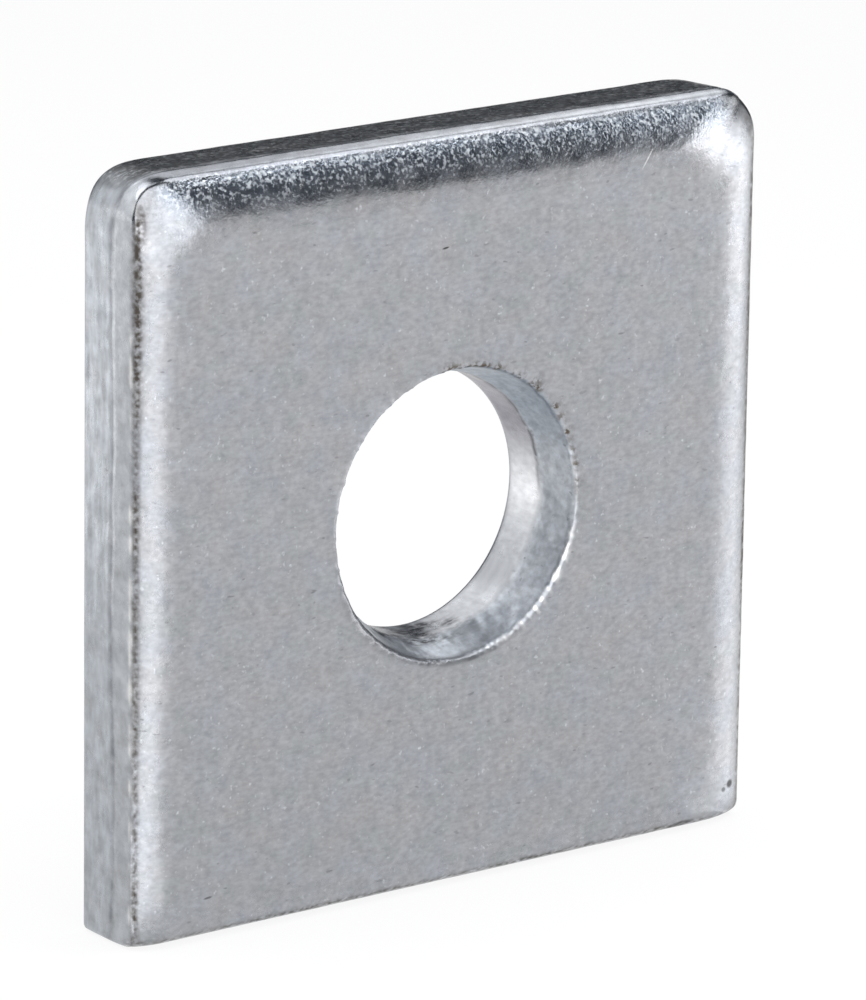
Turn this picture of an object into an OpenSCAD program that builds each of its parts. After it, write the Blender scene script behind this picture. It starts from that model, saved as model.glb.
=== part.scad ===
// Square plate washer, blanked from steel strip and pierced for one bolt.
// It stands on its lower edge with its rolled face to the front (-Y) and the hole along Y.
// The origin is the middle of the hole on the flat back face.

/* [Plate] */
// Side of the square, over the smooth band of the sheared walls
side = 40; // [32:0.5:60]
// Thickness of the strip
thickness = 5; // [4:0.1:8]
// Plan radius of the two upper corners
upper_corner_r = 2.6; // [1:0.1:3]
// Plan radius of the two lower corners
lower_corner_r = 0.5; // [0.3:0.1:3]

/* [Rolled rim] */
// Width of the rounded rim on the front face, in from the wall
roll_width = 2.4; // [1:0.1:2.5]
// Drop of the rim where it meets the wall
roll_drop = 0.9; // [0.4:0.05:1.2]
// Plan radius that the rim follows round the corners
roll_corner_r = 2.5; // [2.5:0.1:5]

/* [Sheared wall] */
// Height of the torn band, from the back face
torn_height = 2.6; // [1:0.1:2.7]
// How far the torn band leans in at the back face
torn_lean = 0.05; // [0.01:0.01:0.2]

/* [Bolt hole] */
// Diameter of the smooth land that the punch leaves, clear of an M12 bolt
hole_d = 14; // [8:0.1:20]
// Depth from the back face to the end of the land
land_depth = 2.2; // [1:0.1:3.5]
// Growth of the hole's radius from the land to the front face, where it broke out
breakout_flare = 0.75; // [0.1:0.05:1.5]
// Radius of the rounded entry at the back face
entry_r = 0.4; // [0.1:0.1:0.8]

/* [Hidden] */
$fn = 96;
// Overrun of cutting shapes past the plate
clear = 1;
half = side / 2;
hole_r = hole_d / 2;
// Centre lines of the rim's round corners
rim_centre = half - roll_corner_r;
// Circle through the wall's edge and tangent to the front face
roll_r = (pow(roll_width, 2) + pow(roll_drop, 2)) / (2 * roll_drop);

// Section of the strip between two sheared walls: square above, leaning in at the back
module wall_section() {
    polygon([
        [torn_lean - half, 0],
        [half - torn_lean, 0],
        [half, torn_height],
        [half, thickness],
        [-half, thickness],
        [-half, torn_height]
    ]);
}

// Bar of that section, longer than the plate
module sheared_bar() {
    rotate([90, 0, 0])
        linear_extrude(side + 2 * clear, center = true)
            wall_section();
}

// What is trimmed from a square corner to leave a round one of radius r about the local axis
module corner_trim(r) {
    difference() {
        translate([0, 0, -clear])
            cube([r + clear, r + clear, thickness + 2 * clear]);
        rotate_extrude()
            polygon([
                [0, -2 * clear],
                [r - torn_lean, -2 * clear],
                [r - torn_lean, 0],
                [r, torn_height],
                [r, thickness + 2 * clear],
                [0, thickness + 2 * clear]
            ]);
    }
}

// Square blank with sheared walls and round corners, its front edge still sharp
module sharp_blank() {
    difference() {
        intersection() {
            sheared_bar();
            rotate([0, 0, 90])
                sheared_bar();
        }
        for (i = [0:3]) {
            r = i < 2 ? upper_corner_r : lower_corner_r;
            rotate([0, 0, 90 * i])
                translate([half - r, half - r, 0])
                    corner_trim(r);
        }
    }
}

// Half-section of the rim from a corner's axis outwards: flat face, then an arc that falls away
module rim_section() {
    difference() {
        square([roll_corner_r + clear, thickness]);
        translate([roll_corner_r - roll_width, thickness - roll_r])
            difference() {
                square([roll_width + 2 * clear, roll_r + clear]);
                circle(roll_r);
            }
    }
}

// Plate with the rolled rim carried along four sides and round four corners, past the walls
module rolled_body() {
    translate([-rim_centre, -rim_centre, 0])
        cube([2 * rim_centre, 2 * rim_centre, thickness]);
    for (i = [0:3])
        rotate([0, 0, 90 * i])
            translate([rim_centre, 0, 0]) {
                rotate([90, 0, 0])
                    linear_extrude(2 * rim_centre, center = true)
                        rim_section();
                translate([0, rim_centre, 0])
                    rotate_extrude(angle = 90)
                        rim_section();
            }
}

// Pierced hole: rounded entry at the back, straight land, then a cone where the slug tore out
module pierced_hole() {
    rotate_extrude() {
        translate([0, -clear])
            square([hole_r, thickness + 2 * clear]);
        polygon([
            [0, land_depth],
            [hole_r, land_depth],
            [hole_r + breakout_flare, thickness],
            [hole_r + breakout_flare, thickness + clear],
            [0, thickness + clear]
        ]);
        difference() {
            translate([0, -clear])
                square([hole_r + entry_r, entry_r + clear]);
            translate([hole_r + entry_r, entry_r])
                circle(entry_r);
        }
    }
}

module plate_washer() {
    color([0.66, 0.67, 0.69])
        rotate([90, 0, 0])
            difference() {
                intersection() {
                    sharp_blank();
                    rolled_body();
                }
                pierced_hole();
            }
}

plate_washer();
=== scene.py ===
import bpy
import numpy as np
from mathutils import Matrix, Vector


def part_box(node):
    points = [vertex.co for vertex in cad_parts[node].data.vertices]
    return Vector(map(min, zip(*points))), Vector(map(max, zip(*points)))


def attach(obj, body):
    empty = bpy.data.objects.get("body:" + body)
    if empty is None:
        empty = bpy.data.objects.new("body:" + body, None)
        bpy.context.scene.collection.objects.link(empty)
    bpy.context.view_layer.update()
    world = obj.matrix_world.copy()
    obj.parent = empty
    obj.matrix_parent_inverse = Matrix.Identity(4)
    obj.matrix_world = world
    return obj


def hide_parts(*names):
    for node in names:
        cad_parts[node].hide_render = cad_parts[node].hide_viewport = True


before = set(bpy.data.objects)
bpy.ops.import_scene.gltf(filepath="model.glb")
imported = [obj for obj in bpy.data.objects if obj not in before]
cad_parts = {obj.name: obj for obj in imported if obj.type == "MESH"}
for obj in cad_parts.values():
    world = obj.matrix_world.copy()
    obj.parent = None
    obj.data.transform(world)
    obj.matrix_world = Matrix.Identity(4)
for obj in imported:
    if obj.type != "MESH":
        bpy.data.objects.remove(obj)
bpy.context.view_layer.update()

# Plate
# One piece of mild steel strip, blanked square and pierced for a bolt, then zinc plated.
# The die draws the front edge over into a rolled rim, burnishes the next part of each wall
# and tears the rest off, so the wall has a smooth band in front and a torn one behind.
MM = 0.001
low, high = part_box("plate_washer")
HALF = (high.x - low.x) / 2
THICKNESS = high.y - low.y
ROLL_WIDTH = 2.4 * MM
ROLL_DROP = 0.9 * MM
ROLL_R = (ROLL_WIDTH ** 2 + ROLL_DROP ** 2) / (2 * ROLL_DROP)
# Furthest that the rim's arc is followed, as a share of its radius
ARC_END = 0.95
# The rim is wider along the top and the right side, narrower along the foot and deeper along the top
WIDER = 1.0 * MM
FOOT_WIDTH = 0.9 * MM
DEEPER = 0.15
# How far the corners reach along the sides at the smooth band, the back face and the flat of the
# front face. The order is lower right, upper right, upper left, lower left.
CORNER_RADII = np.array([0.65, 2.5, 2.9, 0.4]) * MM
BACK_RADII = np.array([0.65, 3.3, 3.3, 0.45]) * MM
FLAT_RADII = np.array([1.6, 4.6, 4.6, 1.6]) * MM
# How much slower than evenly each corner turns at its ends
CORNER_EASES = np.array([0.6, 0.4, 0.6, 0.6])
# Share by which the rim falls deeper in the middle of the upper corners
CORNER_GAINS = np.array([0.0, 0.45, 0.35, 0.0])
# Power by which the rim's corners pass from the wall's reach to the flat's; below 1 they widen at once
CORNER_HASTES = np.array([1.0, 0.75, 1.0, 1.0])
# The rim stands fuller round the lower corners, where its contours are squarer than circles
CORNER_POWERS = np.array([2.7, 2.0, 2.0, 3.0])
TORN_HEIGHT = 2.6 * MM
TORN_LEAN = 0.03 * MM
LEAST_SMOOTH = 0.4 * MM
HOLE_R = 7.0 * MM
BREAKOUT_FLARE = 0.75 * MM
LAND_DEPTH = 2.2 * MM
LAND_GAIN = 0.6 * MM
ENTRY_R = 0.4 * MM


def ramp(value, start, end):
    """Straight rise from 0 at the start to 1 at the end, level beyond them."""
    return np.clip((value - start) / (end - start), 0, 1)


def blend(a, b, t):
    """Straight mix, a where t is 0 and b where it is 1."""
    return a + (b - a) * t


# The grid's columns run round the plate from the middle of the foot, a quarter to each corner
COLUMNS = 864
CORNER_FROM, CORNER_TO = 0.41, 0.59
around = np.arange(COLUMNS) * 4 / COLUMNS
quarter = around.astype(int)
along = around - quarter
turning = ramp(along, CORNER_FROM, CORNER_TO)
run_in = ramp(along, 0, CORNER_FROM)
run_out = ramp(along, 1, CORNER_TO)
turn = (quarter - 1) * np.pi / 2
CORNER_STEPS = 1000


def heading(share, ease):
    """Direction in a corner: the share of a quarter turn, less a sine wave as large as the ease.
    It turns slowly at first and last, so the curve eases into both sides."""
    return np.pi / 2 * (share - ease * np.sin(2 * np.pi * share) / (2 * np.pi))


def travelled(rate):
    """Share of the way gone in the corner at each column, summed from each quarter's rate at even steps."""
    gone = np.cumsum(rate, axis=0) - rate[0]
    step = np.minimum((turning * CORNER_STEPS).astype(int), CORNER_STEPS - 1)
    part = turning * CORNER_STEPS - step
    return blend(gone[step, quarter], gone[step + 1, quarter], part) / gone[-1, quarter]


bend = heading(turning, CORNER_EASES[quarter])
corner_turns = heading(np.linspace(0, 1, CORNER_STEPS + 1)[:, None], CORNER_EASES)
corner_x = 1 - travelled(np.sin(corner_turns))
corner_y = travelled(np.cos(corner_turns))

# Where each column faces, how deep it lies in a corner, and its direction from the hole
facing_right = np.cos(turn + bend)
facing_up = np.sin(turn + bend)
top_side = np.clip(facing_up, 0, 1)
foot_side = np.clip(-facing_up, 0, 1)
right_side = np.clip(facing_right, 0, 1)
left_side = np.clip(-facing_right, 0, 1)
in_corner = np.sin(2 * bend) ** 2
upper = (quarter == 1) | (quarter == 2)
spoke_x = np.cos((around - 1) * np.pi / 2)
spoke_y = np.sin((around - 1) * np.pi / 2)

# Sizes of the wall and the rim at each column; the smooth band falls in a little where it meets the rim
corner_r = CORNER_RADII[quarter]
back_r = BACK_RADII[quarter]
flat_r = FLAT_RADII[quarter]
haste = CORNER_HASTES[quarter]
power = CORNER_POWERS[quarter]
land_fall = (0.03 + 0.19 * top_side + 0.04 * left_side) * MM
rim_width = ROLL_WIDTH + WIDER * np.hypot(top_side, right_side)
rim_gain = 1 + DEEPER * top_side + CORNER_GAINS[quarter] * in_corner


def rounded_square(half, r):
    """Square with round corners: each quarter is a half side, a corner of reach r and a half side, turned."""
    x = (half - r) * run_out + r * corner_x
    y = (half - r) * run_in + r * corner_y
    return x * np.cos(turn) - y * np.sin(turn), x * np.sin(turn) + y * np.cos(turn)


def rim_ring(t):
    """Line of the rim at the share t of the way in: a rounded square pulled in where the rim is wider."""
    half = blend(HALF - land_fall, HALF - ROLL_WIDTH, t)
    x, y = rounded_square(half, blend(corner_r - land_fall, flat_r, t ** haste))
    core = HALF - ROLL_WIDTH
    return x - WIDER * t * ramp(x, 0, core) ** 2, y - WIDER * t * ramp(y, 0, core) ** 2


def roll_depth(x, y, t):
    """Fall of the rim, a circle's arc tangent to the face. At the lower corners it goes by the distance
    from the flat, in contours squarer than circles; at the upper ones by the share t of the way in."""
    wide_x = ROLL_WIDTH + WIDER * (x > 0)
    wide_y = np.where(y > 0, ROLL_WIDTH + WIDER, FOOT_WIDTH)
    share_x = np.maximum(np.abs(x) - HALF + wide_x, 0) / wide_x
    share_y = np.maximum(np.abs(y) - HALF + wide_y, 0) / wide_y
    by_distance = (share_x ** power + share_y ** power) ** (1 / power)
    by_share = (1 - land_fall / rim_width) * (1 - t)
    out = np.minimum(np.where(upper, by_share, by_distance) * ROLL_WIDTH, ARC_END * ROLL_R)
    return rim_gain * (ROLL_R - np.sqrt(ROLL_R ** 2 - out ** 2))


def grain(rows, row_length, column_length, seed):
    """Random field of unit spread that closes on itself round the plate: white noise, blurred over
    so many rows and columns by a bell in its frequencies."""
    white = np.random.default_rng(seed).standard_normal((rows, COLUMNS))
    down = np.fft.fftfreq(rows)[:, None] * row_length
    across = np.fft.rfftfreq(COLUMNS)[None, :] * column_length
    bell = np.exp(-2 * (down ** 2 + across ** 2) * np.pi)
    field = np.fft.irfft2(np.fft.rfft2(white) * bell, (rows, COLUMNS))
    return field / field.std()


def wave(column_length, seed):
    """Random line of unit spread round the plate, blurred over so many columns."""
    return grain(1, 1, column_length, seed)[0]


# Wavy lines that part the bands: the tear as a height above the back, the crack as a depth from the front
wall_x, wall_y = rounded_square(HALF, corner_r)
crease = roll_depth(*rim_ring(0), 0)
tear_wave = (0.12 * wave(44, 11) + 0.02 * wave(6, 12)) * MM
tear_line = TORN_HEIGHT + tear_wave + (0.5 * top_side - 0.12 * left_side) * MM
tear_line = np.minimum(tear_line, THICKNESS - crease - LEAST_SMOOTH)
crack_wave = (0.07 * wave(18, 13) + 0.03 * wave(5, 14)) * MM
crack_line = THICKNESS - LAND_DEPTH - LAND_GAIN * ramp(spoke_y, 1, 0) + crack_wave

# Rows of each stretch of the section, from the hole's back rim out, round and back down the hole
BACK, TORN, SMOOTH, ROLL, FACE, CONE, LAND, ENTRY = 8, 17, 13, 28, 17, 13, 10, 6
ROWS = BACK + TORN + SMOOTH + ROLL + FACE + CONE + LAND + ENTRY
row_starts = np.cumsum([BACK, TORN, SMOOTH, ROLL, FACE, CONE])
torn_row, smooth_row, roll_row, face_row, cone_row, land_row = row_starts
row = np.arange(ROWS)[:, None]


def steps(count):
    """Column of fractions from 0 up to, but not at, 1."""
    return np.arange(count)[:, None] / count


def plate_section():
    """Points of the section carried round: faces blend a square into a circle, walls rise, the rim rolls."""
    rim_r = HOLE_R + BREAKOUT_FLARE
    entry_r = HOLE_R + ENTRY_R
    back_x, back_y = rounded_square(HALF - TORN_LEAN, back_r)
    flat_x, flat_y = rim_ring(1)

    t = 1 - (1 - steps(BACK)) ** 3
    back_face = blend(entry_r * spoke_x, back_x, t), blend(entry_r * spoke_y, back_y, t), -THICKNESS

    t = steps(TORN)
    leaning = rounded_square(HALF - TORN_LEAN * (1 - t), blend(back_r, corner_r, t ** 0.5))
    torn_band = *leaning, tear_line * t - THICKNESS

    t = steps(SMOOTH)
    fall = land_fall * t * t
    smooth_band = *rounded_square(HALF - fall, corner_r - fall), blend(tear_line - THICKNESS, -crease, t)

    t = steps(ROLL)
    ring = rim_ring(t)
    rolled_rim = *ring, -roll_depth(*ring, t)

    t = steps(FACE)
    t = t * t * (3 - 2 * t)
    front_face = blend(flat_x, rim_r * spoke_x, t), blend(flat_y, rim_r * spoke_y, t), 0.0

    t = steps(CONE)
    r = blend(rim_r, HOLE_R, t)
    torn_cone = r * spoke_x, r * spoke_y, -crack_line * t

    t = steps(LAND)
    punched_land = HOLE_R * spoke_x, HOLE_R * spoke_y, blend(-crack_line, ENTRY_R - THICKNESS, t)

    t = steps(ENTRY) * np.pi / 2
    r = entry_r - ENTRY_R * np.cos(t)
    round_entry = r * spoke_x, r * spoke_y, ENTRY_R * (1 - np.sin(t)) - THICKNESS

    outer = back_face, torn_band, smooth_band, rolled_rim, front_face
    inner = torn_cone, punched_land, round_entry
    return np.concatenate([np.stack(np.broadcast_arrays(*s), axis=-1) for s in outer + inner])


def ridge(at, width):
    """Bell over the rows, 1 at the given row."""
    return np.exp(-((row - at) / width) ** 2)


def stretch(start, count, soft):
    """1 on a stretch of rows, falling off over a few rows at both ends."""
    return np.clip((row - start) / soft + 0.5, 0, 1) * np.clip((start + count - row) / soft + 0.5, 0, 1)


def ease_edges(points):
    """Rounds the section's edges: near each one, three times, a row moves to its neighbours' mean."""
    weight = ridge(torn_row, 1.0) + ridge(roll_row, 1.6) + ridge(cone_row, 0.7) + 0.6 * ridge(land_row, 1.5)
    weight = np.clip(weight, 0, 1)[..., None]
    for _ in range(3):
        mean = (np.roll(points, 1, 0) + np.roll(points, -1, 0)) / 2
        points = blend(points, mean, 0.6 * weight)
    return points


def outward(points):
    """Unit normal of the grid: the step round the plate crossed with the step along the section."""
    round_step = np.roll(points, -1, 1) - np.roll(points, 1, 1)
    section_step = np.roll(points, -1, 0) - np.roll(points, 1, 0)
    n = np.cross(round_step, section_step)
    return n / np.linalg.norm(n, axis=-1, keepdims=True)


torn = stretch(torn_row, TORN, 1.5)
smooth = stretch(smooth_row, SMOOTH, 1.5)
rolled = stretch(roll_row, ROLL, 2)
face = stretch(face_row, FACE, 2)
cone = stretch(cone_row, CONE, 1.5)
land = stretch(land_row, LAND, 1.5)
upward = ramp(facing_up, 0.55, 1.0)
hole_right = ramp(spoke_x, 0.86, 0.96)

# Relief of the wall, the rim and the face, in mm along the outward direction: torn grain, the step and
# the bead between the bands, a softly uneven rim and face
relief = torn * (0.005 * grain(ROWS, 1.2, 14, 21) + 0.009 * grain(ROWS, 3, 4, 22) - 0.012)
relief += -0.035 * ridge(smooth_row + 0.3, 0.9) * (0.8 + 0.2 * wave(7, 23))
relief += smooth * (0.004 * grain(ROWS, 14, 1.6, 24) + 0.003 * grain(ROWS, 2, 10, 25) - 0.008)
relief += 0.014 * ridge(roll_row - 0.6, 1.0) * np.clip(0.6 + 0.4 * wave(3, 26), 0, 1.5) * (1 - upward)
relief += -0.02 * ridge(roll_row + 2.2, 1.0) * np.clip(0.8 + 0.2 * wave(9, 27), 0, 1.5)
relief += rolled * (0.002 * grain(ROWS, 3, 3, 28) + 0.006 * grain(ROWS, 12, 40, 29) - 0.010)
relief += face * (0.003 * grain(ROWS, 3, 30, 30) - 0.004)

# Relief of the hole: a ragged rim, the torn cone, the crack where tearing began, and the punch's chatter on
# the right
relief += 0.02 * ridge(cone_row, 0.7) * wave(3, 31)
relief += cone * (0.010 * grain(ROWS, 2, 6, 32) - 0.008)
relief += -0.03 * ridge(land_row, 0.8) * np.clip(0.4 + 0.5 * wave(9, 33), 0, 1.6)
chatter = np.sin(wave(9, 35) * 1.6 + around * 60 + (row - land_row) * 0.55)
relief += land * (0.003 * chatter * hole_right + 0.003 * grain(ROWS, 6, 5, 34) - 0.006)

# Columns crowd together in the tight corners, so the relief of the wall and the rim dies down towards them
CROWDED = 0.1 * MM
nearby = range(-12, 13)
pitch = np.hypot(np.roll(wall_x, -1) - wall_x, np.roll(wall_y, -1) - wall_y)
calm = ramp(pitch, 0, CROWDED)
calm = np.min([np.roll(calm, shift) for shift in nearby], axis=0)
calm = np.mean([np.roll(calm, shift) for shift in nearby], axis=0)
outside = ramp(row, face_row + 6, face_row)
relief *= 1 - outside * (1 - calm)

points = ease_edges(plate_section())
points = points + outward(points) * relief[..., None] * MM
points[..., :2] = np.clip(points[..., :2], -HALF, HALF)
points[..., 2] = np.clip(points[..., 2], -THICKNESS, 0)
# The plate was worked out lying on its back; it stands with that face to the rear
placed = np.stack([points[..., 0], -THICKNESS - points[..., 2], points[..., 1]], axis=-1)

corner = (row * COLUMNS + np.arange(COLUMNS)).astype(np.int32)
next_column = np.roll(corner, -1, 1)
quads = np.stack([corner, next_column, np.roll(next_column, -1, 0), np.roll(corner, -1, 0)], axis=-1)
plate_mesh = bpy.data.meshes.new("plate_washer_skin")
plate_mesh.from_pydata(placed.reshape(-1, 3).tolist(), [], quads.reshape(-1, 4).tolist())
plate_mesh.polygons.foreach_set("use_smooth", np.ones(ROWS * COLUMNS, bool))

# Marks for the plating, one for each band or trace, 0 where it is missing; several carry painted shade,
# highlights and glints, as their names say. First the places that they use.
upper_right_rim = ramp(spoke_x, -0.35, -0.15) * ramp(spoke_y, -0.1, 0.2)
lower_right_rim = ramp(spoke_x, 0.2, 0.5) * ramp(spoke_y, -0.2, -0.35)
lower_left_rim = ramp(spoke_x, 0.35, 0.15) * ramp(spoke_y, 0.2, 0.0)
hole_foot = ramp(spoke_y, -0.78, -0.90) * ramp(spoke_x, 0.4, 0.1)
up_left = ramp(wall_y / MM, 6, 14) * left_side
to_left = ramp(wall_x / MM, -2, -12)
downward = foot_side ** 4
peened_glint_rows = ramp(row, face_row - 0.3 * ROLL, face_row - 0.8 * ROLL) * stretch(roll_row + 1, ROLL, 3)
# Rows of painted shade at the rim's outer edge on the right
edge_shade_rows = 10 - 4 * (quarter == 1) * in_corner
edge_shade_band = ramp(row, roll_row + edge_shade_rows, roll_row) * (row >= roll_row - 1)
# Grime in the rim's crease with painted shade over it, wider at the upper left and along the foot, fainter on
# top
grime_shade_line = ridge(roll_row + 2.0 + 0.7 * up_left + 2.2 * downward, 1.8 + 1.0 * up_left + 0.6 * downward)
grime_shade_share = (0.9 + 0.15 * wave(14, 41)) * (1 - 0.8 * ramp(facing_up, 0.2, 0.7)) * (1 + 0.7 * up_left)
smudged_rows = land + ridge(land_row, 4)
marks = {
    "torn": torn,
    "torn_top_dark": torn * upward,
    "smooth": smooth,
    "shelf_shade": smooth * upward * blend(0.55, 1.0, to_left),
    "corner_highlight": smooth * (quarter == 2) * in_corner,
    "tear_shade": np.clip(ridge(smooth_row + 0.2, 1.4) * (0.85 + 0.2 * wave(9, 40)), 0, 1),
    "bead_highlight": np.clip(ridge(roll_row - 0.8, 0.9) * (0.3 + 0.7 * wave(2.5, 43)) * (1 - upward), 0, 1),
    "lip_shade": ridge(roll_row - 0.2, 1.4) * upward,
    "rolled": rolled * ramp(row, face_row, face_row - 0.3 * ROLL),
    "drawn": rolled * upward,
    "peened_glints": peened_glint_rows * blend(0.10, 1.0, ramp(facing_up, 0.8, 1.0)),
    "edge_shade": edge_shade_band * ramp(facing_right, 0.02, 0.32),
    "grime_and_shade": np.clip(grime_shade_line * grime_shade_share, 0, 1.7),
    "cone": cone,
    "shade": cone * (ramp(spoke_y, 0.15, 0.65) + 0.3 * ramp(spoke_y, -0.7, -0.9)),
    "land": land,
    "land_mid_pale": land * np.exp(-((spoke_y + 0.08) / 0.28) ** 2) * (spoke_x > 0),
    "upper_land_dark": land * ramp(spoke_y, 0.08, 0.48),
    "crack": np.clip(ridge(land_row, 0.55) * upper_right_rim * (1.0 + 0.25 * wave(12, 42)), 0, 1),
    "rim": np.clip(ridge(cone_row - 0.5, 1.1) * upper_right_rim * (0.7 + 0.6 * wave(4, 44)), 0, 1),
    "rim_highlight": np.clip(ridge(cone_row - 0.2, 0.8) * lower_right_rim * (0.2 + 0.9 * wave(3, 45)), 0, 1),
    "low_rim_shade": ridge(cone_row + 0.6, 1.5) * lower_left_rim,
    "smudge": np.clip(smudged_rows * hole_foot * (0.75 + 0.5 * grain(ROWS, 1.2, 14, 46)), 0, 1),
}
for name, values in marks.items():
    layer = plate_mesh.attributes.new(name, "FLOAT", "POINT")
    layer.data.foreach_set("value", np.broadcast_to(values, (ROWS, COLUMNS)).astype(np.float32).ravel())


def four_corners(lines):
    """Values of a grid's lines at the corners of each of its cells, in the order of the quads."""
    return np.stack([lines[:-1, :-1], lines[:-1, 1:], lines[1:, 1:], lines[1:, :-1]], axis=-1)


# A map in metres that runs round the plate and along the section
girth = np.concatenate([[0], np.cumsum(pitch)])
row_pitch = np.linalg.norm(np.diff(points, axis=0, append=points[:1]), axis=-1).mean(axis=1)
depth = np.concatenate([[0], np.cumsum(row_pitch)])
strip_corners = np.stack([four_corners(lines) for lines in np.meshgrid(girth, depth)], axis=-1)
strip_map = plate_mesh.uv_layers.new(name="strip")
strip_map.data.foreach_set("uv", strip_corners.astype(np.float32).ravel())
plate_mesh.update()
plate = bpy.data.objects.new("plate_washer_skin", plate_mesh)
bpy.context.scene.collection.objects.link(plate)
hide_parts("plate_washer")
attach(plate, "root")

# Zinc plating
# A thin electroplated coat over the whole plate: grey with a faint blue cast, softly clouded and flecked
# on the face, brighter where the die burnished it, rough on the torn bands, with painted shade and painted
# glint specks on the rim along the top, and grime with painted shade in the rim's crease.
zinc = bpy.data.materials.new("zinc_plated_steel")
zinc.use_nodes = True
tree = zinc.node_tree
shader = tree.nodes["Principled BSDF"]
shader.inputs["Metallic"].default_value = 1.0


def put(socket, value):
    """Sets an input, or links it where the value is another node's output."""
    if isinstance(value, bpy.types.NodeSocket):
        tree.links.new(value, socket)
    else:
        socket.default_value = value


def make(kind, settings=None, **inputs):
    """Adds a node with its settings and its inputs by name, where a name's underscores are spaces."""
    node = tree.nodes.new(kind)
    for key, value in (settings or {}).items():
        setattr(node, key, value)
    for key, value in inputs.items():
        put(node.inputs[key.replace("_", " ")], value)
    return node


def maths(operation, a, b):
    """Sum, product or other two-number operation."""
    node = make("ShaderNodeMath", {"operation": operation})
    put(node.inputs[0], a)
    put(node.inputs[1], b)
    return node.outputs[0]


def times(a, b):
    """Product of two values."""
    return maths("MULTIPLY", a, b)


def mark(name):
    """A band's mark from the mesh."""
    return make("ShaderNodeAttribute", {"attribute_name": name}).outputs["Fac"]


def noise(where, scale, detail=2.0, stretch_by=(1.0, 1.0, 1.0)):
    """Noise of so many features to the metre, stretched by a factor on each axis."""
    place = make("ShaderNodeMapping", Vector=where, Scale=stretch_by)
    return make("ShaderNodeTexNoise", Vector=place.outputs[0], Scale=scale, Detail=detail).outputs[0]


def between(value, from_low, from_high, to_low=0.0, to_high=1.0):
    """Value from one range to another, clamped."""
    node = make("ShaderNodeMapRange", Value=value, From_Min=from_low, From_Max=from_high,
                To_Min=to_low, To_Max=to_high)
    return node.outputs[0]


def tint(a, b, share, how="MIX"):
    """Colour b over colour a by a share."""
    node = make("ShaderNodeMix", {"data_type": "RGBA", "blend_type": how})
    put(node.inputs["Factor"], share)
    put(node.inputs[6], a)
    put(node.inputs[7], b)
    return node.outputs[2]


own = make("ShaderNodeTexCoord").outputs["Object"]
strip = make("ShaderNodeUVMap", {"uv_map": "strip"}).outputs[0]

# Clouded grey with flecks, dark ticks and pale specks
BLUE_GREY = (0.361, 0.373, 0.402, 1)
PLAIN_GREY = (0.372, 0.373, 0.388, 1)
DEEP_GREY = (0.353, 0.366, 0.380, 1)
TICK = (0.17, 0.17, 0.18, 1)
SPECK = (0.58, 0.60, 0.63, 1)
colour = tint(BLUE_GREY, PLAIN_GREY, between(noise(own, 420.0, 3.0), 0.38, 0.62))
colour = tint(colour, DEEP_GREY, between(noise(own, 700.0, 2.0, (1.0, 1.0, 1.3)), 0.52, 0.70))
fleck = noise(own, 1900.0, 4.0)
colour = tint(colour, (1.12, 1.12, 1.12, 1), between(fleck, 0.50, 0.75), "MULTIPLY")
colour = tint(colour, (0.89, 0.90, 0.90, 1), between(fleck, 0.48, 0.25), "MULTIPLY")
bunch = between(noise(own, 500.0, 2.0), 0.42, 0.62)
tick = between(noise(own, 2600.0, 1.0, (0.6, 1.0, 1.4)), 0.685, 0.745)
colour = tint(colour, TICK, times(tick, between(bunch, 0.0, 1.0, 0.15, 0.6)))
speck = between(noise(own, 3900.0, 1.0), 0.68, 0.80)
colour = tint(colour, SPECK, times(speck, between(bunch, 1.0, 0.0, 0.3, 0.8)))
pebble = noise(own, 3400.0, 2.0, (0.7, 1.0, 1.3))
colour = tint(colour, between(pebble, 0.30, 0.70, 0.90, 1.10), 1.0, "MULTIPLY")

# The wall: streaked where torn, darker and gritty on the torn band's top side, pale where burnished.
# Painted shade darkens the smooth band along the top, more to the right, and the top of the rim's crease;
# a painted highlight brightens the smooth band round the upper left corner.
TORN_STEEL = (0.44, 0.47, 0.505, 1)
TORN_BLACK = (0.022, 0.022, 0.024, 1)
TORN_GRAIN = (0.36, 0.37, 0.38, 1)
SMOOTH_ZINC = (0.43, 0.45, 0.475, 1)
streak = noise(strip, 1.0, 4.0, (800.0, 3000.0, 1.0))
colour = tint(colour, TORN_STEEL, times(mark("torn"), between(streak, 0.40, 0.62, 0.30, 1.0)))
grit = noise(strip, 1.0, 3.0, (2600.0, 5200.0, 1.0))
colour = tint(colour, TORN_BLACK, times(mark("torn_top_dark"), between(grit, 0.68, 0.50, 0.42, 1.0)))
colour = tint(colour, TORN_GRAIN, times(mark("torn_top_dark"), between(noise(own, 4200.0, 2.0), 0.56, 0.68, 0.0, 0.8)))
colour = tint(colour, SMOOTH_ZINC, times(mark("smooth"), between(fleck, 0.35, 0.6, 0.5, 0.9)))
# Painted shade: the smooth band along the top darker, more so to the right
colour = tint(colour, (0.64, 0.64, 0.66, 1), mark("shelf_shade"), "MULTIPLY")
# Painted highlight on the smooth band round the upper left corner
colour = tint(colour, (1.3, 1.3, 1.3, 1), mark("corner_highlight"), "MULTIPLY")
# Painted shade along the top of the rim's crease, damping the lamp's reflection there
colour = tint(colour, (0.52, 0.52, 0.53, 1), mark("lip_shade"), "MULTIPLY")

# The rim along the top, dark where it mirrors the dim room: a darker blue tint, painted shade along with
# the zinc's blue cast, under pale specks painted as glints, which catch the lamps
GLINT_SPECK = (0.86, 0.90, 0.94, 1)
colour = tint(colour, (0.72, 0.80, 0.89, 1), mark("peened_glints"), "MULTIPLY")
glint_specks = times(mark("peened_glints"), between(noise(own, 5000.0, 3.0), 0.48, 0.70))
colour = tint(colour, GLINT_SPECK, times(glint_specks, 0.85))
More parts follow.
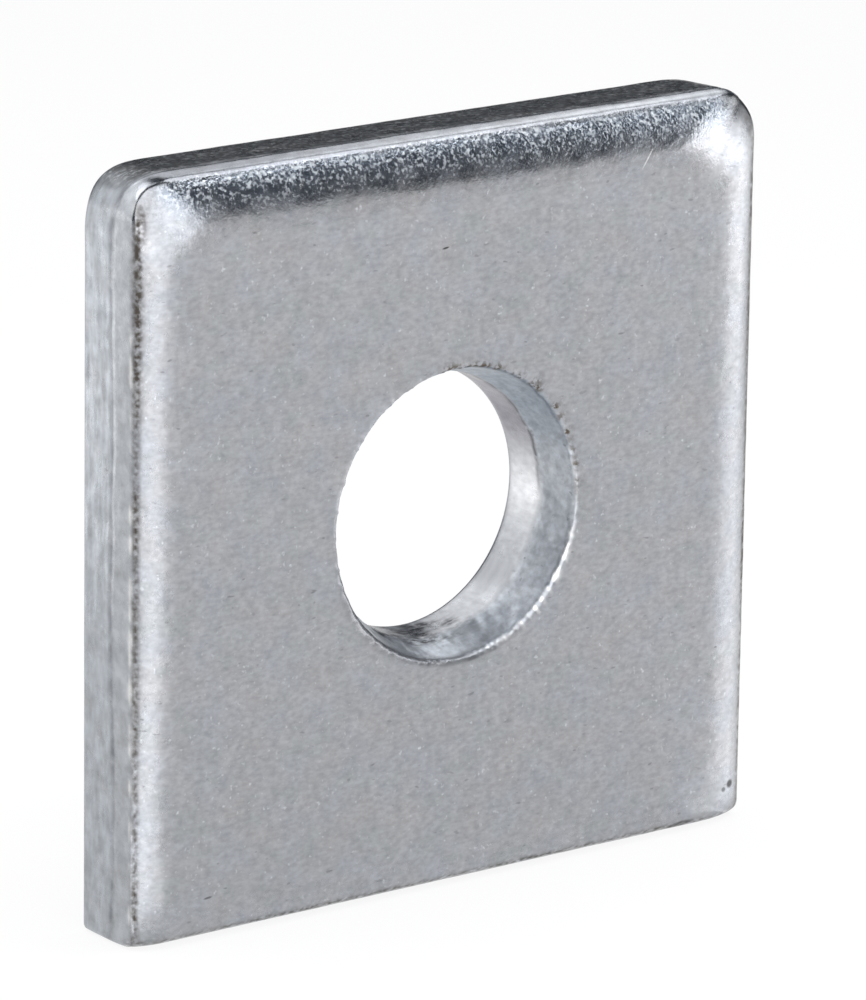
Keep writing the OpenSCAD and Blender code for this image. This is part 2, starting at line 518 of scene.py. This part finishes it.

# Painted shade along the tear's step, a painted highlight on the bead, grime with painted shade at the
# crease, painted shade along the right rim's edge, and mottled walls with painted shade darker towards the
# foot
TEAR_SHADE = (0.15, 0.16, 0.18, 1)
BEAD_HIGHLIGHT = (0.80, 0.80, 0.80, 1)
EDGE_SHADE = (0.12, 0.125, 0.13, 1)
GRIME_AND_SHADE = (0.085, 0.075, 0.066, 1)
# Painted shade: a broken dark line along the step where the torn band meets the smooth one
colour = tint(colour, TEAR_SHADE, times(mark("tear_shade"), between(noise(own, 900.0, 2.0), 0.38, 0.60, 0.15, 0.7)))
# Painted highlight: a pale bead along the rim's crease, except along the top
colour = tint(colour, BEAD_HIGHLIGHT, times(mark("bead_highlight"), 0.8))
wall = maths("ADD", mark("torn"), mark("smooth"))
colour = tint(colour, between(noise(own, 1000.0, 5.0), 0.35, 0.65, 0.86, 1.12), wall, "MULTIPLY")
# Painted shade: the walls lighter at the top and darker towards the foot
height = make("ShaderNodeSeparateXYZ", Vector=own).outputs["Z"]
colour = tint(colour, between(height, low.z, high.z, 0.92, 1.06), wall, "MULTIPLY")
# Painted shade along the rim's outer edge on the right, narrower at the upper right corner
colour = tint(colour, EDGE_SHADE, times(mark("edge_shade"), 0.9))
# Grime with painted shade in the rim's crease, broken by noise
grime_and_shade = times(mark("grime_and_shade"), between(noise(own, 3200.0, 5.0), 0.32, 0.62, 0.0, 0.9))
colour = tint(colour, GRIME_AND_SHADE, grime_and_shade)

# The hole: bluish where torn, with painted shade on the cone's upper side and at its bottom; pale where
# punched, darker on the land's upper side and paler round its middle on the right; with blots and pits
CONE_BLUE = (0.57, 0.60, 0.64, 1)
CONE_SHADE = (0.27, 0.31, 0.36, 1)
LAND_ZINC = (0.54, 0.55, 0.575, 1)
LAND_UPPER_DARK = (0.255, 0.247, 0.28, 1)
LAND_MID_PALE = (0.76, 0.77, 0.79, 1)
PIT = (0.22, 0.23, 0.25, 1)
colour = tint(colour, CONE_BLUE, times(mark("cone"), between(fleck, 0.3, 0.6, 0.5, 0.95)))
colour = tint(colour, CONE_SHADE, times(mark("shade"), 0.8))
colour = tint(colour, LAND_ZINC, times(mark("land"), 0.9))
colour = tint(colour, LAND_UPPER_DARK, times(mark("upper_land_dark"), 0.95))
colour = tint(colour, LAND_MID_PALE, mark("land_mid_pale"))
scrape = noise(strip, 1.0, 4.0, (700.0, 1600.0, 1.0))
colour = tint(colour, between(scrape, 0.30, 0.70, 0.86, 1.12), mark("land"), "MULTIPLY")
colour = tint(colour, between(noise(own, 3000.0, 4.0), 0.35, 0.65, 0.87, 1.13), mark("cone"), "MULTIPLY")
pits = between(noise(own, 2300.0, 3.0), 0.66, 0.74)
colour = tint(colour, PIT, times(times(mark("cone"), pits), 0.7))

# The hole's edges: a thin dark crack, a ragged rim with dirt on its upper right, a painted highlight
# along its lower right and painted shade along its lower left, smears at the foot
CRACK = (0.10, 0.10, 0.11, 1)
RIM_DIRT = (0.11, 0.09, 0.07, 1)
RIM_HIGHLIGHT = (0.85, 0.85, 0.85, 1)
RIM_SHADE = (0.09, 0.09, 0.10, 1)
SMEAR = (0.07, 0.07, 0.08, 1)
crack = times(mark("crack"), between(noise(own, 1800.0, 3.0), 0.28, 0.46))
colour = tint(colour, CRACK, times(crack, 0.85))
colour = tint(colour, RIM_DIRT, times(mark("rim"), between(noise(own, 3600.0, 3.0), 0.42, 0.56)))
# Painted highlight along the rim's lower right
colour = tint(colour, RIM_HIGHLIGHT, mark("rim_highlight"))
# Painted shade along the rim's lower left
colour = tint(colour, RIM_SHADE, times(mark("low_rim_shade"), 0.85))
smear = noise(strip, 1.0, 3.0, (450.0, 5200.0, 1.0))
colour = tint(colour, SMEAR, times(mark("smudge"), between(smear, 0.40, 0.56, 0.25, 1.0)))


def scar(x, z, length, width, slant):
    """Soft oval on the front face: its place, half length and half width in mm, and its slope in degrees."""
    place = make("ShaderNodeMapping", {"vector_type": "TEXTURE"}, Vector=own,
                 Location=(x * MM, low.y, z * MM), Rotation=(0.0, -np.radians(slant), 0.0),
                 Scale=(length * MM, 2 * MM, width * MM))
    away = make("ShaderNodeVectorMath", {"operation": "LENGTH"})
    put(away.inputs[0], place.outputs[0])
    return between(away.outputs["Value"], 1.1, 0.6)


# Single marks: two dark spots low on the right, a scuff at the foot, two dark ticks, two pale scratches.
# Each has its place and size, its grey and how much of it shows.
for place, grey, share in (
    ((18.95, -18.0, 0.30, 0.26, 0), 0.03, 0.9),
    ((18.4, -18.2, 0.15, 0.20, 80), 0.06, 0.7),
    ((15.4, -19.6, 0.9, 0.25, 5), 0.06, 0.8),
    ((-1.06, 14.24, 0.24, 0.06, 8), 0.05, 0.9),
    ((-15.7, -17.73, 0.30, 0.07, 5), 0.08, 0.7),
    ((12.08, 17.24, 0.72, 0.05, 53), 0.75, 0.8),
    ((-9.94, 18.62, 0.34, 0.10, 50), 0.80, 0.8),
):
    colour = tint(colour, (grey, grey, grey, 1), times(scar(*place), share))
put(shader.inputs["Base Color"], colour)

# Satin all over, glossier where the die drew or burnished the steel, dull in the crease's grime and in the
# glint specks
GLOSS = {"rolled": 0.06, "drawn": 0.07, "smooth": 0.10, "torn": 0.05, "cone": -0.06, "land": 0.04}
rough = between(noise(own, 900.0, 3.0), 0.35, 0.65, 0.30, 0.38)
for band, gain in GLOSS.items():
    rough = maths("SUBTRACT", rough, times(mark(band), gain))
rough = maths("ADD", rough, times(grime_and_shade, 0.3))
rough = maths("ADD", rough, times(glint_specks, 0.25))
put(shader.inputs["Roughness"], rough)

# Fine bumps, in metres: dimples on the rim along the top, fibres on the torn bands, and a tooth on all of it
DIMPLES = 0.00001
FIBRES = 0.000012
TOOTH = 0.000006
clusters = between(noise(own, 1100.0, 2.0), 0.35, 0.65, 0.6, 1.2)
dimple = times(between(noise(own, 6800.0, 1.0), 0.36, 0.70), clusters)
peened_bump = make("ShaderNodeBump", Strength=1.0, Distance=DIMPLES)
put(peened_bump.inputs["Height"], times(dimple, mark("peened_glints")))
torn_bump = make("ShaderNodeBump", Strength=1.0, Distance=FIBRES, Normal=peened_bump.outputs[0])
put(torn_bump.inputs["Height"], times(streak, mark("torn")))
fine_bump = make("ShaderNodeBump", Strength=1.0, Distance=TOOTH, Normal=torn_bump.outputs[0])
put(fine_bump.inputs["Height"], noise(own, 7000.0, 3.0))
put(shader.inputs["Normal"], fine_bump.outputs[0])
plate_mesh.materials.append(zinc)

# Floor
# A plain sheet of white paper that the washer stands on. It shows white to the camera and in the metal,
# and takes a soft shadow in the share of it that is lit by the lamps.
FLOOR_REACH = 4.0
LIT_SHARE = 0.12
PAPER = (0.8, 0.8, 0.8, 1)
WHITE = (1.0, 1.0, 1.0, 1)
floor_mesh = bpy.data.meshes.new("floor_sheet")
edge = FLOOR_REACH * np.array([[-1, -1], [1, -1], [1, 1], [-1, 1]])
floor_mesh.from_pydata(np.column_stack([edge, np.full(4, low.z)]).tolist(), [], [(0, 1, 2, 3)])
floor = bpy.data.objects.new("floor_sheet", floor_mesh)
bpy.context.scene.collection.objects.link(floor)
sheet = bpy.data.materials.new("white_sheet")
sheet.use_nodes = True
tree = sheet.node_tree
tree.nodes.remove(tree.nodes["Principled BSDF"])
paper = make("ShaderNodeBsdfDiffuse", Color=PAPER)
glow = make("ShaderNodeEmission", Color=WHITE, Strength=1.0)
path = make("ShaderNodeLightPath")
seen = maths("MAXIMUM", path.outputs["Is Camera Ray"], path.outputs["Is Glossy Ray"])
seen = maths("MAXIMUM", seen, path.outputs["Is Transmission Ray"])
mix = make("ShaderNodeMixShader", Fac=times(seen, 1 - LIT_SHARE))
put(mix.inputs[1], paper.outputs[0])
put(mix.inputs[2], glow.outputs[0])
put(tree.nodes["Material Output"].inputs["Surface"], mix.outputs[0])
floor_mesh.materials.append(sheet)

# Room
# A dim studio round the sheet. It is white up to a little over the horizon, where the sheet is swept up
# in the distance, and dark blue-grey above that.
ROOM_DARK = (0.055, 0.065, 0.08, 1)
SWEEP_FROM, SWEEP_TO = 0.018, 0.032
world = bpy.data.worlds.new("dim_studio")
bpy.context.scene.world = world
world.use_nodes = True
tree = world.node_tree
direction = make("ShaderNodeTexCoord").outputs["Generated"]
rise = make("ShaderNodeSeparateXYZ", Vector=direction).outputs["Z"]
room = tint(WHITE, ROOM_DARK, between(rise, SWEEP_FROM, SWEEP_TO))
put(tree.nodes["Background"].inputs["Color"], room)
bpy.context.scene.view_settings.view_transform = "Standard"


# Lamps
# Soft boxes of white cloth that light the washer and show in its metal. Boxes stand in front, on the right
# and behind, and others hang above. Pads that lie on the sheet show in the hole and, near the foot, in the
# rims, with fainter pads along two of them to soften the edge of that reflection.
def softbox(name, centre, across, up, brightness):
    """Rectangle lamp at a place in mm, spanned by its across and up edges in mm.
    It shines away from the side that across x up points to."""
    across, up = np.array(across) * MM, np.array(up) * MM
    width, tall = np.linalg.norm(across), np.linalg.norm(up)
    lamp = bpy.data.lights.new(name, "AREA")
    lamp.shape = "RECTANGLE"
    lamp.size, lamp.size_y = width, tall
    lamp.energy = brightness * np.pi * width * tall
    box = bpy.data.objects.new(name, lamp)
    turned = np.eye(4)
    turned[:3, 0] = across / width
    turned[:3, 1] = up / tall
    turned[:3, 2] = np.cross(turned[:3, 0], turned[:3, 1])
    turned[:3, 3] = np.array(centre) * MM
    box.matrix_world = Matrix(turned.tolist())
    box.visible_camera = False
    bpy.context.scene.collection.objects.link(box)
    return box


softbox("front_box", (-45, -150, 72), (155, -30, 0), (8, 42, 175), 2.2)
softbox("front_pad", (-34, -85, -19.6), (0, 70, 0), (53, 0, 0), 1.15)
softbox("near_front_pad", (-29.0, -27.6, -19.6), (0, 44.8, 0), (16.0, 0, 0), 1.15)
softbox("near_front_edge", (-19.15, -29.75, -19.6), (0, 40.5, 0), (3.7, 0, 0), 0.6)
softbox("left_corner_box", (36, -145, 35), (30, 8, 0), (0, 0, 56), 2.0)
softbox("right_corner_box", (126.1, -80.4, 54.4), (25.4, 34.6, -8.3), (12.8, 14.7, 101), 2.6)
softbox("right_box", (145.5, -31, 1), (23, 98, 0), (-5, 1, 42), 1.7)
softbox("right_pad", (92.8, -22.2, -19.6), (26.5, 42.4, 0), (118.7, -74.2, 0), 0.9)
softbox("right_edge", (75.5, -45.4, -19.6), (3.5, 4.9, 0), (113.3, -82.3, 0), 0.45)
softbox("hole_pad", (-90, 118, -19), (-95, 117, 0), (17, 14, 0), 0.8)
softbox("back_left_box", (-135, 105, 118), (-150, -190, 0), (168, -130, 224), 1.0)
softbox("back_box", (105, 205, 197), (-310, 120, 0), (-40, -100, 113), 1.2)
softbox("high_right_box", (161, 65, 193), (-49, 121, 0), (-76, -31, 74), 1.2)
softbox("top_box", (120, -70, 230), (-80, -139, 0), (111, -64, -78), 4.2)
softbox("over_box", (-85, 25, 200), (140, 0, 0), (0, 140, 0), 1.3)
# The ceiling lights the sheet evenly and doesn't show in the metal
ceiling = softbox("ceiling_box", (0, 0, 1000), (-1200, 0, 0), (0, -1200, 0), 1.2)
ceiling.visible_glossy = False

# Camera
# A long lens to the left of the washer and above it, aimed at the middle of the hole's front and turned
# slightly about its own axis. The aim lies a little off the middle of the picture.
PHOTO_WIDTH, PHOTO_HEIGHT = 866, 1000
FOCAL_PIXELS = 7521.9
AXIS_PIXEL = (458.3, 514.92)
CAMERA_LEFT, CAMERA_UP, CAMERA_ROLL = np.radians([37.732, 15.521, 0.887])
CAMERA_DISTANCE = 386.64 * MM
CLIP_START = 10 * MM
level = np.cos(CAMERA_UP)
backward = np.array([-np.sin(CAMERA_LEFT) * level, -np.cos(CAMERA_LEFT) * level, np.sin(CAMERA_UP)])
sideways = np.cross([0, 0, 1], backward)
sideways = sideways / np.linalg.norm(sideways)
upwards = np.cross(backward, sideways)
pose = np.eye(4)
pose[:3, 0] = np.cos(CAMERA_ROLL) * sideways + np.sin(CAMERA_ROLL) * upwards
pose[:3, 1] = np.cos(CAMERA_ROLL) * upwards - np.sin(CAMERA_ROLL) * sideways
pose[:3, 2] = backward
pose[:3, 3] = np.array([0, low.y, 0]) + CAMERA_DISTANCE * backward
lens = bpy.data.cameras.new("photo_camera")
lens.lens = FOCAL_PIXELS / PHOTO_HEIGHT * lens.sensor_width
lens.shift_x = (PHOTO_WIDTH / 2 - AXIS_PIXEL[0]) / PHOTO_HEIGHT
lens.shift_y = (AXIS_PIXEL[1] - PHOTO_HEIGHT / 2) / PHOTO_HEIGHT
lens.clip_start = CLIP_START
camera = bpy.data.objects.new("photo_camera", lens)
camera.matrix_world = Matrix(pose.tolist())
bpy.context.scene.collection.objects.link(camera)
bpy.context.scene.camera = camera
